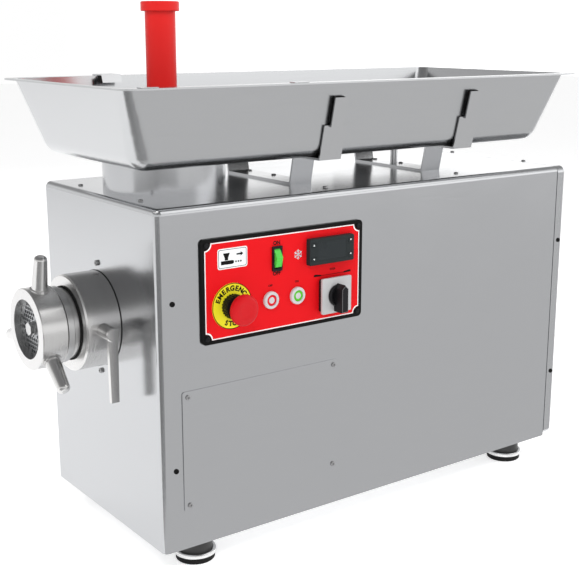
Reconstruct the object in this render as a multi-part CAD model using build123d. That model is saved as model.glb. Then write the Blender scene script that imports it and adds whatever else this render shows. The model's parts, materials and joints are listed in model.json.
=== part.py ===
from build123d import *
import os
from math import acos, cos, pi, radians, sin, sqrt, tan

# Refrigerated bench meat grinder with a size 22 head.
#
# Working frame of this script, in millimetres: x runs from the cabinet's head end to its rear,
# y from the control side to the far side, z up from the cabinet's underside. The corner of the
# cabinet at the head end on the control side is the zero point. save() moves every piece to the
# frame of the part: the centre of the object's footprint, at floor level.

# ---- driving dimensions -------------------------------------------------------------------
CABINET_LENGTH = 726.0
CABINET_WIDTH = 316.0
CABINET_HEIGHT = 440.0
COVER_DEPTH = 18.5
SEAM_GAP = 1.5
SHEET = 2.0
BEND_RADIUS = 8.0

FOOT_HEIGHT = 32.0
FOOT_X = (63.0, 648.0)
FOOT_Y = (31.0, 285.0)

AXIS_Y = CABINET_WIDTH / 2
AXIS_Z = 277.0
RING_FRONT = -102.0
RING_BACK = -68.0
RING_RADIUS = 52.7
APERTURE_RADIUS = 38.4
COLLAR_LENGTH = 47.6
COLLAR_RADIUS = 62.9
BARREL_RADIUS = 46.0
BORE_RADIUS = 34.0
PLATE_RADIUS = 41.0
PLATE_THICKNESS = 8.0
PLATE_FRONT = -90.0
RUNNING_CLEARANCE = 0.05
BODY_GAP = 0.3
SCREW_SHANK = 1.9
LEVER_X = -25.0

THROAT_X = 103.0
THROAT_RADIUS = 26.0
SEAT_Z = AXIS_Z + 50.0
NECK_RADIUS = 81.4
PLUNGER_TOP = 681.0
PLUNGER_RADIUS = 19.7
PLUNGER_CAP_RADIUS = 24.8

TRAY_X = (-47.9, 717.0)
TRAY_Y = (-23.0, 330.3)
TRAY_RIM = 581.8
TRAY_BOTTOM = 482.0
TRAY_FLANGE = 17.4
WALL_SLOPE = 0.24
TRAY_SHEET = 2.0
TRAY_BEND = 24.0
TRAY_CORNER = 28.0
TRAY_RIM_CORNER = 16.0
TRAY_END_FLANGE = 8.0
TRAY_END_SLOPE = 0.30

BRACKET_X = (272.0, 514.5)
BRACKET_WIDTH = 36.0
BRACKET_SHEET = 3.0
BRACKET_TOP = TRAY_BOTTOM - BODY_GAP
BRACKET_SCREW_OFFSET = 9.0
BRACKET_SCREW_Y = (96.0, 157.0, 218.0)

ACCESS_X = (46.0, 258.0)
ACCESS_Z = (67.0, 194.0)
ACCESS_SHEET = 1.2

PANEL_X = (59.0, 313.0)
PANEL_Z = (265.0, 398.0)
PANEL_FACE = -3.2
OVERLAY_FACE = -3.0

ESTOP_X, ESTOP_Z = 103.5, 310.0
OFF_X, ON_X, BUTTON_Z = 162.0, 204.0, 309.0
ROCKER_X, ROCKER_Z = 172.1, 362.0
THERMOSTAT_X, THERMOSTAT_Z = 256.2, 364.3
CAM_X, CAM_Z = 262.7, 303.0

GEAR_MODULE = 3.0
GEAR_TEETH = 60
PINION_TEETH = 12
MOTOR_Z = AXIS_Z - GEAR_MODULE * (GEAR_TEETH + PINION_TEETH) / 2
GEAR_X = (205.0, 225.0)
GEARBOX_X = (184.0, 244.0)
MOTOR_X = (244.0, 468.0)
MOTOR_RADIUS = 70.0
SHAFT_RADIUS = 9.0
FRAME_TOP = 27.0

GLAND_Y, GLAND_Z = 262.0, 62.0
GLAND_REACH = 16.0
ESTOP_REACH = 36.0
FAN_Y, FAN_Z = 222.0, 150.0

ORIGIN_X = (RING_FRONT + CABINET_LENGTH + GLAND_REACH) / 2
ORIGIN_Y = (TRAY_Y[1] - ESTOP_REACH) / 2


# ---- helpers ------------------------------------------------------------------------------
def block(x, y, z):
    """Box between two limits along each axis."""
    centre = Pos((x[0] + x[1]) / 2, (y[0] + y[1]) / 2, (z[0] + z[1]) / 2)
    return centre * Box(x[1] - x[0], y[1] - y[0], z[1] - z[0])


def rod_x(x, y, z, radius):
    """Cylinder along x."""
    return Pos((x[0] + x[1]) / 2, y, z) * Rot(0, 90, 0) * Cylinder(radius, x[1] - x[0])


def rod_y(x, y, z, radius):
    """Cylinder along y."""
    return Pos(x, (y[0] + y[1]) / 2, z) * Rot(90, 0, 0) * Cylinder(radius, y[1] - y[0])


def rod_z(x, y, z, radius):
    """Cylinder along z."""
    return Pos(x, y, (z[0] + z[1]) / 2) * Cylinder(radius, z[1] - z[0])


def on_axis(x, radius):
    """Cylinder on the grinding head's axis."""
    return rod_x(x, AXIS_Y, AXIS_Z, radius)


def around(centre, half_width):
    """Limits at equal distances on both sides of a centre."""
    return (centre - half_width, centre + half_width)


def save(name, *solids):
    """Write one node: its solids, moved to the frame of the part."""
    node = Compound(children=[s for group in solids for s in group.solids()])
    node = Pos(-ORIGIN_X, -ORIGIN_Y, FOOT_HEIGHT) * node
    node.label = name
    export_step(node, f"parts/{name}.step")


# ---- cabinet ------------------------------------------------------------------------------
def make_cabinet():
    """Welded sheet casing, open below and at the rear, with the openings of the controls."""
    body_length = CABINET_LENGTH - COVER_DEPTH - SEAM_GAP
    outer = block((0, body_length), (0, CABINET_WIDTH), (0, CABINET_HEIGHT))
    kept_sharp = lambda e: e.center().Z < 1 or e.center().X > body_length - 1
    outer = fillet([e for e in outer.edges() if not kept_sharp(e)], BEND_RADIUS)
    inner = block((SHEET, body_length), (SHEET, CABINET_WIDTH - SHEET), (0, CABINET_HEIGHT - SHEET))
    inner = fillet([e for e in inner.edges() if not kept_sharp(e)], BEND_RADIUS - SHEET)
    casing = outer - inner
    through = (-1.0, SHEET + 1)
    casing -= on_axis((-1, SHEET + 1), BARREL_RADIUS + 0.5)
    casing -= rod_z(THROAT_X, AXIS_Y, (CABINET_HEIGHT - SHEET - 1, CABINET_HEIGHT + 1), NECK_RADIUS - 6)
    casing -= rod_y(ESTOP_X, through, ESTOP_Z, 11.2)
    casing -= rod_y(OFF_X, through, BUTTON_Z, 8.4)
    casing -= rod_y(ON_X, through, BUTTON_Z, 8.4)
    casing -= block(around(ROCKER_X, 6.5), through, around(ROCKER_Z, 14.2))
    casing -= block(around(THERMOSTAT_X, 35.6), through, around(THERMOSTAT_Z, 14.6))
    casing -= rod_y(CAM_X, through, CAM_Z, 8.2)
    casing -= block(ACCESS_X, through, ACCESS_Z)
    casing += make_rear_frame()
    return casing - screw_holes()


def make_rear_frame():
    """Frame welded inside the casing's open end; the rear cover slides over its proud lip."""
    gap, lip, proud = SHEET + BODY_GAP, 14.0, CABINET_LENGTH - 4
    seam = CABINET_LENGTH - COVER_DEPTH - SEAM_GAP
    fixed = block((seam - 16, seam), (1.0, CABINET_WIDTH - 1.0), (3.0, CABINET_HEIGHT - 1.0))
    fixed = fillet(fixed.edges().filter_by(Axis.X), BEND_RADIUS - 1.0)
    sliding = block((seam - 1, proud), (gap, CABINET_WIDTH - gap), (3.0 + gap, CABINET_HEIGHT - gap))
    sliding = fillet(sliding.edges().filter_by(Axis.X), BEND_RADIUS + 1.0)
    inside = block((seam - 17, proud + 1), (lip, CABINET_WIDTH - lip), (lip, CABINET_HEIGHT - lip))
    return fixed + sliding - inside


def make_rear_cover():
    """Shallow cap on the rear end, with a louvre field for the condenser."""
    start = CABINET_LENGTH - COVER_DEPTH
    corner = 10.0
    edge = 6.0
    outer = block((start, CABINET_LENGTH), (0, CABINET_WIDTH), (1.0, CABINET_HEIGHT))
    outer = fillet(outer.edges().filter_by(Axis.X), corner)
    rear_face = outer.faces().sort_by(Axis.X)[-1]
    outer = fillet(rear_face.edges(), edge)
    inner = block((start - 1, CABINET_LENGTH - SHEET), (SHEET, CABINET_WIDTH - SHEET),
                  (1.0 + SHEET, CABINET_HEIGHT - SHEET))
    inner = fillet(inner.edges().filter_by(Axis.X), corner - SHEET)
    cover = outer - inner
    slot_count, slot_pitch, slot_height = 9, 16.0, 5.0
    for row in range(slot_count):
        z = FAN_Z + (row - (slot_count - 1) / 2) * slot_pitch
        slot = block((CABINET_LENGTH - SHEET - 1, CABINET_LENGTH + 1), around(FAN_Y - 30, 62),
                     around(z, slot_height / 2))
        cover -= fillet(slot.edges().filter_by(Axis.X), slot_height / 2 - 0.1)
    cover -= rod_x((start, CABINET_LENGTH + 1), GLAND_Y, GLAND_Z, 8.1)
    return cover - screw_holes()


def make_base_pan():
    """Floor sheet of the cabinet with the clearance holes of the foot studs."""
    edge = SHEET + 1.0
    pan = block((edge, CABINET_LENGTH - COVER_DEPTH - 20), (edge, CABINET_WIDTH - edge), (0.5, SHEET))
    pan = fillet(pan.edges().filter_by(Axis.Z), BEND_RADIUS)
    for x in FOOT_X:
        for y in FOOT_Y:
            pan -= rod_z(x, y, (0, SHEET + 1), 7.0)
    slot_count, slot_pitch = 10, 14.0
    for index in range(slot_count):
        x = 500 + index * slot_pitch
        pan -= block(around(x, 3), (60, 180), (0, SHEET + 1))
    return pan


def make_base_frame():
    """Two long tubes and three cross tubes that carry the feet, drive and compressor."""
    wall = 2.5
    length = (12.0, CABINET_LENGTH - COVER_DEPTH - 24)
    low, high = SHEET, FRAME_TOP
    frame = None
    for y in FOOT_Y:
        tube = block(length, around(y, 20), (low, high))
        tube -= block((length[0] - 1, length[1] + 1), around(y, 20 - wall), (low + wall, high - wall))
        frame = tube if frame is None else frame + tube
    for x in (FOOT_X[0], 345.0, 560.0, FOOT_X[1]):
        y = (FOOT_Y[0] + 20, FOOT_Y[1] - 20)
        cross = block(around(x, 20), y, (low, high))
        cross -= block(around(x, 20 - wall), (y[0] - 1, y[1] + 1), (low + wall, high - wall))
        frame += cross
    for x in FOOT_X:
        for y in FOOT_Y:
            frame -= rod_z(x, y, (low - 1, high + 1), 6.0 + RUNNING_CLEARANCE)
    return frame


def make_access_panel():
    """Service cover screwed over the opening in the control side."""
    lap, corner = 16.0, 3.0
    x = (ACCESS_X[0] - lap, ACCESS_X[1] + lap + 1)
    z = (ACCESS_Z[0] - lap, ACCESS_Z[1] + lap)
    plate = block(x, (-ACCESS_SHEET, 0.0), z)
    return fillet(plate.edges().filter_by(Axis.Y), corner) - screw_holes()


SCREW_TURNS = {"-y": Rot(90, 0, 0), "+z": Rot(0, 0, 0), "+y": Rot(-90, 0, 0)}


def casing_screw_places():
    """Seat and outward direction of every button screw of the casing, cover, panel and brackets."""
    cover_x = CABINET_LENGTH - 9.5
    top_front = ((21.0, 74.0), (21.0, 242.0), (277.5, 33.0), (521.0, 33.0))
    top_rear = ((cover_x, 79.0), (cover_x, 240.0))
    places = []
    for x, z in ((19.7, 108.6), (19.7, 323.7), (cover_x, 108.5), (cover_x, 323.5)):
        places += [(x, 0.0, z, "-y"), (x, CABINET_WIDTH, z, "+y")]
    for x in (38.0, 267.3):
        for z in (59.0, 202.5):
            places.append((x, -ACCESS_SHEET, z, "-y"))
    for x, y in top_front + top_rear:
        places.append((x, y, CABINET_HEIGHT, "+z"))
    for x in BRACKET_X:
        for y in BRACKET_SCREW_Y:
            places.append((x + BRACKET_SCREW_OFFSET, y, CABINET_HEIGHT + BRACKET_SHEET, "+z"))
    return places


def screw_holes():
    """Cutters for the shanks of the button screws, in every sheet they pass through."""
    cutter = Cylinder(SCREW_SHANK + RUNNING_CLEARANCE, 40)
    return [Pos(x, y, z) * SCREW_TURNS[turn] * cutter for x, y, z, turn in casing_screw_places()]


def make_casing_screws():
    """Low button heads with hex recesses, and their shanks."""
    head_radius, height, socket, shank_length = 3.4, 1.8, 1.3, 6.0
    head = Pos(0, 0, height / 2) * Cylinder(head_radius, height)
    head = fillet(head.faces().sort_by(Axis.Z)[-1].edges(), 1.2)
    head -= Pos(0, 0, height) * extrude(RegularPolygon(socket, 6), 1.0, both=True)
    screw = head + Pos(0, 0, -shank_length / 2) * Cylinder(SCREW_SHANK, shank_length)
    return [Pos(x, y, z) * SCREW_TURNS[turn] * screw for x, y, z, turn in casing_screw_places()]


# ---- feet ---------------------------------------------------------------------------------
def make_feet():
    """Rubber pads, steel cups and threaded hubs of the four levelling feet."""
    pad_top, cup_top, hub_top = -23.0, -17.5, 0.5
    pads, cups, hubs = [], [], []
    for x in FOOT_X:
        for y in FOOT_Y:
            pad = rod_z(x, y, (-FOOT_HEIGHT, pad_top), 26.0)
            pads.append(fillet(pad.faces().sort_by(Axis.Z)[0].edges(), 2.0))
            cup = rod_z(x, y, (pad_top, cup_top), 28.0)
            cup = fillet(cup.faces().sort_by(Axis.Z)[-1].edges(), 2.0)
            cups.append(cup - rod_z(x, y, (pad_top + 1.5, cup_top + 1), 24.0))
            hub = rod_z(x, y, (pad_top + 1.5, hub_top), 23.0)
            hub = fillet(hub.faces().sort_by(Axis.Z)[-1].edges(), 3.0)
            hubs.append(hub + rod_z(x, y, (hub_top - 5, FRAME_TOP + 6), 6.0))
    return pads, cups, hubs


# ---- control panel ------------------------------------------------------------------------
def make_panel_frame():
    """Black plate under the overlay, with a raised border and four screw lands."""
    plate = block(PANEL_X, (PANEL_FACE, 0), PANEL_Z)
    plate = fillet(plate.edges().filter_by(Axis.Y), 6)
    plate -= make_overlay_blank(PANEL_FACE - 1)
    for shape in panel_openings(0.2):
        plate -= shape
    return plate


def make_overlay_blank(face):
    """Overlay sheet before its openings: a rectangle with hollow corners, from face to its seat."""
    border, notch, seat = 5.0, 9.0, OVERLAY_FACE + 0.5
    x = (PANEL_X[0] + border, PANEL_X[1] - border)
    z = (PANEL_Z[0] + border, PANEL_Z[1] - border)
    sheet = block(x, (face, seat), z)
    for corner_x in x:
        for corner_z in z:
            sheet -= rod_y(corner_x, (face - 1, 0), corner_z, notch)
    return sheet


def panel_openings(gap):
    """Cutters for the parts that pass through the panel, gap wider all round."""
    through = (-6.0, 4.0)
    return [
        rod_y(ESTOP_X, through, ESTOP_Z, 11.0 + gap),
        rod_y(OFF_X, through, BUTTON_Z, 8.2 + gap),
        rod_y(ON_X, through, BUTTON_Z, 8.2 + gap),
        block(around(ROCKER_X, 6.3 + gap), through, around(ROCKER_Z, 14.0 + gap)),
        block(around(THERMOSTAT_X, 35.4 + gap), through, around(THERMOSTAT_Z, 14.4 + gap)),
        rod_y(CAM_X, through, CAM_Z, 8.0 + gap),
    ]


def make_panel_overlay():
    sheet = make_overlay_blank(OVERLAY_FACE)
    for shape in panel_openings(0.2):
        sheet -= shape
    return sheet


def make_panel_screws():
    """Four black round heads in the panel's corners."""
    inset = 7.5
    screws = []
    for x in (PANEL_X[0] + inset, PANEL_X[1] - inset):
        for z in (PANEL_Z[0] + inset, PANEL_Z[1] - inset):
            head = rod_y(x, (PANEL_FACE - 1.6, PANEL_FACE), z, 3.2)
            head = fillet(head.faces().sort_by(Axis.Y)[0].edges(), 1.0)
            head -= block(around(x, 2.2), (PANEL_FACE - 2, PANEL_FACE - 0.9), around(z, 0.45))
            screws.append(head)
    return screws


def make_estop_label():
    disc = rod_y(ESTOP_X, (OVERLAY_FACE - 1.0, OVERLAY_FACE), ESTOP_Z, 29.5)
    return disc - rod_y(ESTOP_X, (-6, 0), ESTOP_Z, 11.2)


def make_estop_collar():
    """Ribbed collar and threaded barrel of the emergency stop, with its contact block."""
    front, back, rib_count = -15.0, OVERLAY_FACE - 1.0, 24
    collar = rod_y(ESTOP_X, (front, back), ESTOP_Z, 15.0)
    for index in range(rib_count):
        turn = radians(index * 360 / rib_count)
        rib = rod_y(ESTOP_X + 15.0 * cos(turn), (front + 1.5, back), ESTOP_Z + 15.0 * sin(turn), 1.0)
        collar += rib
    collar += rod_y(ESTOP_X, (back, 22.0), ESTOP_Z, 10.9)
    collar += block(around(ESTOP_X, 20), (22.0, 58.0), around(ESTOP_Z, 14))
    return collar - rod_y(ESTOP_X, (front - 1, 40.0), ESTOP_Z, 6.0 + RUNNING_CLEARANCE)


def make_estop_stem():
    """Sliding stem; its front end carries the mushroom head's pivot."""
    return rod_y(ESTOP_X, (-26.0, 32.0), ESTOP_Z, 6.0)


def make_estop_head():
    """Domed mushroom head with a hub that turns on the stem."""
    radius, face, rim_back, hub_back = 20.0, -ESTOP_REACH, -26.5, -22.0
    head = rod_y(ESTOP_X, (face, rim_back), ESTOP_Z, radius)
    head = fillet(head.faces().sort_by(Axis.Y)[0].edges(), 6.5)
    head = fillet(head.faces().sort_by(Axis.Y)[-1].edges(), 1.5)
    head += rod_y(ESTOP_X, (rim_back, hub_back), ESTOP_Z, 13.0)
    return head - rod_y(ESTOP_X, (-26.0 - BODY_GAP, hub_back + 1), ESTOP_Z, 6.0 + RUNNING_CLEARANCE)


def make_button(x):
    """Bezel and cap of one flush push button."""
    face, seat, outer, inner = -7.0, OVERLAY_FACE, 11.4, 7.4
    bezel = rod_y(x, (face, seat), BUTTON_Z, outer)
    bezel = fillet(bezel.faces().sort_by(Axis.Y)[0].edges(), 1.5)
    bezel += rod_y(x, (seat, 24.0), BUTTON_Z, 8.1)
    bezel -= rod_y(x, (face - 1, 16.0), BUTTON_Z, inner + RUNNING_CLEARANCE)
    cap = rod_y(x, (face + 0.8, 10.0), BUTTON_Z, inner)
    cap = fillet(cap.faces().sort_by(Axis.Y)[0].edges(), 0.8)
    return bezel, cap


def make_rocker_bezel():
    """Snap-in housing of the mains rocker."""
    face, depth, wall = -5.2, 24.0, 1.1
    rim = block(around(ROCKER_X, 7.7), (face, OVERLAY_FACE), around(ROCKER_Z, 16.2))
    rim = fillet(rim.edges().filter_by(Axis.Y), 1.2)
    half_x, half_z = 6.2, 13.9
    rim += block(around(ROCKER_X, half_x), (OVERLAY_FACE, depth), around(ROCKER_Z, half_z))
    well = (face - 1, depth - wall)
    return rim - block(around(ROCKER_X, half_x - wall), well, around(ROCKER_Z, half_z - wall))


def make_rocker():
    """Rocker key with two sloping faces, drawn as it stands with its upper end pressed in."""
    half_length, width, tilt = 11.9, 9.4, 9.0
    profile = Polyline((-11.5, 0), (-6.4, half_length), (2.0, half_length), (6.0, 0),
                       (2.0, -half_length), (-6.4, -half_length), close=True)
    key = extrude(Plane.YZ * make_face(profile), width / 2, both=True)
    key = fillet(key.edges().filter_by(Axis.X), 0.8)
    return Pos(ROCKER_X, 1.0, ROCKER_Z) * Rot(-tilt, 0, 0) * key


def thermostat_keys_at():
    """Centres of the four keys, one near each corner of the display."""
    return [(THERMOSTAT_X + dx, THERMOSTAT_Z + dz) for dx in (-30.5, 30.5) for dz in (9.5, -9.5)]


def make_thermostat_case():
    face, rim_back, depth = -11.0, OVERLAY_FACE, 50.0
    case = block(around(THERMOSTAT_X, 36.8), (face, rim_back), around(THERMOSTAT_Z, 17.6))
    case = fillet(case.edges().filter_by(Axis.Y), 2.0)
    case = fillet(case.faces().sort_by(Axis.Y)[0].edges(), 1.0)
    case += block(around(THERMOSTAT_X, 35.2), (rim_back, depth), around(THERMOSTAT_Z, 14.2))
    case -= block(around(THERMOSTAT_X, 23.0), (face - 1, face + 1.2), around(THERMOSTAT_Z, 12.0))
    for x, z in thermostat_keys_at():
        case -= block(around(x, 4.1), (face - 1, face + 2.4), around(z, 2.6))
    return case


def make_thermostat_display():
    face = -11.0
    pane = block(around(THERMOSTAT_X, 22.9), (face + 0.2, face + 1.2), around(THERMOSTAT_Z, 11.9))
    return fillet(pane.edges().filter_by(Axis.Y), 1.0)


def make_thermostat_key(x, z):
    face = -11.0
    key = block(around(x, 3.8), (face - 0.5, face + 1.6), around(z, 2.3))
    return fillet(key.faces().sort_by(Axis.Y)[0].edges(), 0.4)


def make_cam_switch_body():
    """Dark body under the plate and the contact stack behind the panel."""
    body = block(around(CAM_X, 22.5), (-10.0, OVERLAY_FACE), around(CAM_Z, 22.0))
    body = fillet(body.edges().filter_by(Axis.Y), 2.5)
    body += rod_y(CAM_X, (OVERLAY_FACE, 5.0), CAM_Z, 7.9)
    body += block(around(CAM_X, 21.0), (4.0, 52.0), around(CAM_Z, 21.0))
    return body - rod_y(CAM_X, (-11.0, 40.0), CAM_Z, 3.0 + RUNNING_CLEARANCE)


def make_cam_switch_plate():
    plate = block(around(CAM_X, 24.4), (-13.0, -10.0), around(CAM_Z, 24.0))
    plate = fillet(plate.edges().filter_by(Axis.Y), 2.0)
    return plate - rod_y(CAM_X, (-14.0, -9.0), CAM_Z, 3.3)


def make_cam_switch_handle():
    """Round base with a grip bar across it, and its spindle."""
    base = rod_y(CAM_X, (-18.0, -13.0 - BODY_GAP), CAM_Z, 16.5)
    base = fillet(base.faces().sort_by(Axis.Y)[0].edges(), 1.5)
    bar = block(around(CAM_X, 5.0), (-31.0, -17.0), (CAM_Z - 21.0, CAM_Z + 16.0))
    bar = fillet(bar.edges().filter_by(Axis.Y), 3.0)
    bar = fillet(bar.faces().sort_by(Axis.Y)[0].edges(), 1.5)
    return base + bar + rod_y(CAM_X, (-14.0, 38.0), CAM_Z, 3.0)


# ---- tray and its brackets ----------------------------------------------------------------
def tray_wall(z, side):
    """Outer y of the sloping tray wall at a height; side 0 is the control side."""
    inward = TRAY_FLANGE + WALL_SLOPE * (TRAY_RIM - z)
    return TRAY_Y[0] + inward if side == 0 else TRAY_Y[1] - inward


def tray_form(inset):
    """Solid of the tray's form, every face moved inwards by inset and left open above the rim."""
    low, high = TRAY_BOTTOM + inset, TRAY_RIM + (1.0 if inset else 0.0)

    def outline(z, corner):
        depth = TRAY_RIM - z
        length = TRAY_X[1] - TRAY_X[0] - 2 * (TRAY_END_FLANGE + TRAY_END_SLOPE * depth + inset)
        width = TRAY_Y[1] - TRAY_Y[0] - 2 * (TRAY_FLANGE + WALL_SLOPE * depth + inset)
        level = Plane((sum(TRAY_X) / 2, sum(TRAY_Y) / 2, z))
        return level * RectangleRounded(length, width, corner - inset)

    solid = loft([outline(low, TRAY_CORNER), outline(high, TRAY_RIM_CORNER)], ruled=True)
    return fillet(solid.faces().sort_by(Axis.Z)[0].edges(), TRAY_BEND - inset)


def make_tray():
    """Pressed tray: sloping walls, rounded floor bend, narrow flat rim and a throat hole."""
    inside = tray_form(TRAY_SHEET)
    above = Plane((sum(TRAY_X) / 2, sum(TRAY_Y) / 2, TRAY_RIM))
    rim = RectangleRounded(TRAY_X[1] - TRAY_X[0], TRAY_Y[1] - TRAY_Y[0], TRAY_RIM_CORNER)
    tray = tray_form(0.0) + extrude(above * rim, -TRAY_SHEET) - inside
    return tray - rod_z(THROAT_X, AXIS_Y, (TRAY_BOTTOM - 1, TRAY_BOTTOM + TRAY_SHEET + 1), THROAT_RADIUS)


def bracket_arm(x, side):
    """Arm up one sloping wall: a strip, a step outwards and a narrower tongue off the wall."""
    step_start, top = 525.0, 561.0
    strip_gap, tongue_gap, sheet, tongue_inset = 1.2, 5.2, 2.1, 8.0
    out = -1 if side == 0 else 1
    low = BRACKET_TOP - BRACKET_SHEET
    tongue_width = BRACKET_WIDTH / 2 - tongue_inset

    def strip(z0, z1, gap, thickness, half_width):
        y0 = tray_wall(z0, side) + out * gap
        y1 = tray_wall(z1, side) + out * gap
        far = out * thickness
        outline = Polyline((y0, z0), (y1, z1), (y1 + far, z1), (y0 + far, z0), close=True)
        return Pos(x, 0, 0) * extrude(Plane.YZ * make_face(outline), half_width, both=True)

    arm = strip(low, step_start, strip_gap, sheet, BRACKET_WIDTH / 2)
    step = strip(step_start - sheet, step_start, strip_gap, tongue_gap - strip_gap + sheet, tongue_width)
    return arm + step + strip(step_start - sheet, top, tongue_gap, sheet, tongue_width)


def make_tray_bracket(x):
    """Bent strip: flat base, two legs leaning outwards, the run under the tray and two arms."""
    base_y = (80.7, 235.3)
    top_y = (72.0, 244.0)
    t = BRACKET_SHEET
    floor, low = CABINET_HEIGHT, BRACKET_TOP - BRACKET_SHEET
    half, hole_radius = BRACKET_WIDTH / 2, SCREW_SHANK + RUNNING_CLEARANCE
    bracket = block(around(x, half), base_y, (floor, floor + t))
    bracket += block(around(x, half), (tray_wall(low, 0) - 3, tray_wall(low, 1) + 3), (low, BRACKET_TOP))
    for side, out in ((0, -1), (1, 1)):
        leg = Polyline((base_y[side], floor), (top_y[side], low + 1), (top_y[side] - out * t, low + 1),
                       (base_y[side] - out * t, floor), close=True)
        bracket += Pos(x, 0, 0) * extrude(Plane.YZ * make_face(leg), half, both=True)
        bracket += bracket_arm(x, side)
    for y in BRACKET_SCREW_Y:
        bracket -= rod_z(x + BRACKET_SCREW_OFFSET, y, (floor - 1, floor + t + 1), hole_radius)
    return bracket


def make_tray_post():
    """Round post between the base and the run of the rear bracket."""
    low, high = CABINET_HEIGHT + BRACKET_SHEET, BRACKET_TOP - BRACKET_SHEET
    return rod_z(BRACKET_X[1], AXIS_Y + 5, (low, high), 5.5)


# ---- feed throat --------------------------------------------------------------------------
def make_feed_neck():
    """Insulated round neck between the cabinet top and the tray."""
    top = TRAY_BOTTOM - BODY_GAP
    shell = rod_z(THROAT_X, AXIS_Y, (CABINET_HEIGHT, top), NECK_RADIUS)
    shell -= rod_z(THROAT_X, AXIS_Y, (CABINET_HEIGHT - 1, top - SHEET), NECK_RADIUS - SHEET)
    return shell - rod_z(THROAT_X, AXIS_Y, (top - SHEET - 1, top + 1), THROAT_RADIUS + 3.0)


def make_throat_tube():
    """Tube that leads the meat down to the barrel's inlet, with a bolting flange."""
    wall, flange_radius, flange_height = 2.5, 40.0, 6.0
    tube = rod_z(THROAT_X, AXIS_Y, (SEAT_Z, TRAY_BOTTOM - BODY_GAP), THROAT_RADIUS + wall)
    tube += rod_z(THROAT_X, AXIS_Y, (SEAT_Z, SEAT_Z + flange_height), flange_radius)
    return tube - rod_z(THROAT_X, AXIS_Y, (SEAT_Z - 1, TRAY_BOTTOM + 1), THROAT_RADIUS)


def make_cooling_coil():
    """Evaporator rings round the throat, joined by two header tubes."""
    tube, header, ring_radius, ring_pitch, rings = 4.0, 5.0, 38.0, 20.0, 7
    low = SEAT_Z + 16
    coil = None
    for index in range(rings):
        ring = Pos(THROAT_X, AXIS_Y, low + index * ring_pitch) * Torus(ring_radius, tube)
        coil = ring if coil is None else coil + ring
    for side in (-1, 1):
        y = AXIS_Y + side * ring_radius
        coil += rod_z(THROAT_X, y, (low - 6, low + (rings - 1) * ring_pitch + 6), header)
    return coil


def make_plunger():
    """Plastic meat pusher standing on the edges of the barrel's inlet slot."""
    cap_height, foot = 12.3, SEAT_Z + BODY_GAP
    shaft = rod_z(THROAT_X, AXIS_Y, (foot, PLUNGER_TOP - cap_height + 1), PLUNGER_RADIUS)
    shaft = fillet(shaft.faces().sort_by(Axis.Z)[0].edges(), 2.0)
    cap = rod_z(THROAT_X, AXIS_Y, (PLUNGER_TOP - cap_height, PLUNGER_TOP), PLUNGER_CAP_RADIUS)
    cap = fillet(cap.faces().sort_by(Axis.Z)[-1].edges(), 1.5)
    cap = fillet(cap.faces().sort_by(Axis.Z)[0].edges(), 0.8)
    return shaft + cap


# ---- grinding head ------------------------------------------------------------------------
def barrel_front():
    return PLATE_FRONT + 1.7


def make_barrel():
    """Cast barrel: threaded front, flange, body with the inlet seat, closed rear end."""
    thread_radius, flange_radius, end, bore_end = 48.9, 49.6, 172.0, 160.0
    barrel = on_axis((-57, end), BARREL_RADIUS)
    barrel += on_axis((barrel_front(), -66), thread_radius)
    flange = on_axis((RING_BACK + 1.6, -57), flange_radius)
    barrel += fillet(flange.edges().filter_by(GeomType.CIRCLE), 1.2)
    barrel += rod_z(THROAT_X, AXIS_Y, (AXIS_Z, SEAT_Z), 40.0)
    barrel -= on_axis((barrel_front() - 1, -58), PLATE_RADIUS + RUNNING_CLEARANCE)
    barrel -= on_axis((-60, bore_end), BORE_RADIUS)
    barrel -= on_axis((bore_end - 1, end + 1), 15.0 + RUNNING_CLEARANCE)
    slot_length, slot_width = 62.0, 35.0
    slot = Plane((THROAT_X, AXIS_Y, SEAT_Z + 1)) * SlotOverall(slot_length, slot_width)
    barrel -= extrude(slot, -(SEAT_Z + 1 - AXIS_Z))
    groove = on_axis((-50, -48.6), BARREL_RADIUS + 1) - on_axis((-51, -47), BARREL_RADIUS - 1.5)
    return barrel - groove


def make_head_collar():
    """Thick machined collar on the cabinet's end face that holds the barrel."""
    chamfer_size = 2.0
    collar = on_axis((-COLLAR_LENGTH, 0), COLLAR_RADIUS)
    front = collar.faces().sort_by(Axis.X)[0]
    collar = chamfer(front.edges(), chamfer_size)
    collar -= on_axis((-COLLAR_LENGTH - 1, 1), BARREL_RADIUS + RUNNING_CLEARANCE)
    return collar - rod_y(LEVER_X, (AXIS_Y - COLLAR_RADIUS - 5, AXIS_Y - 40), AXIS_Z, 5.0 + RUNNING_CLEARANCE)


def make_head_bolts():
    """Two cap screws above and below the collar."""
    reach, radius = 73.2, 3.6
    bolts = []
    for side in (-1, 1):
        z = AXIS_Z + side * reach
        head = rod_x((-3.0, 0), AXIS_Y, z, radius)
        head = fillet(head.faces().sort_by(Axis.X)[0].edges(), 0.8)
        head -= Pos(-3.0, AXIS_Y, z) * Rot(0, 90, 0) * extrude(RegularPolygon(1.8, 6), 1.6, both=True)
        bolts.append(head)
    return bolts


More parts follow.
